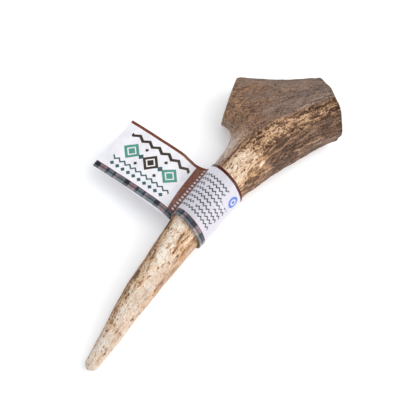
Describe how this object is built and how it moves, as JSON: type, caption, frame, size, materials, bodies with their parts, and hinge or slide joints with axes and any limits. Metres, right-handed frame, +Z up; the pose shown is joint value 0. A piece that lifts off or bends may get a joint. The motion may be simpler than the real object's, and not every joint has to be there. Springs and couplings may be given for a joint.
{
  "type": "antler dog chew",
  "caption": "Tine of a deer antler with a short sawn length of beam, lying on its side, with a film label looped round the tine and a flat flag at one side.",
  "frame": {"origin": "the surface that the chew lies on, under the middle of the whole object's box", "axes": "+X from the tip of the tine to the sawn fork, +Y out along the label's flag, +Z up"},
  "size_m": [0.2496, 0.1202, 0.0315],
  "materials": {
    "antler": "dry antler, pale and polished on the ridges and brown in the grooves",
    "label_film": "white printed glossy film"
  },
  "bodies": {
    "root": {"antler": "antler", "label": "label_film"}
  },
  "joints": []
}
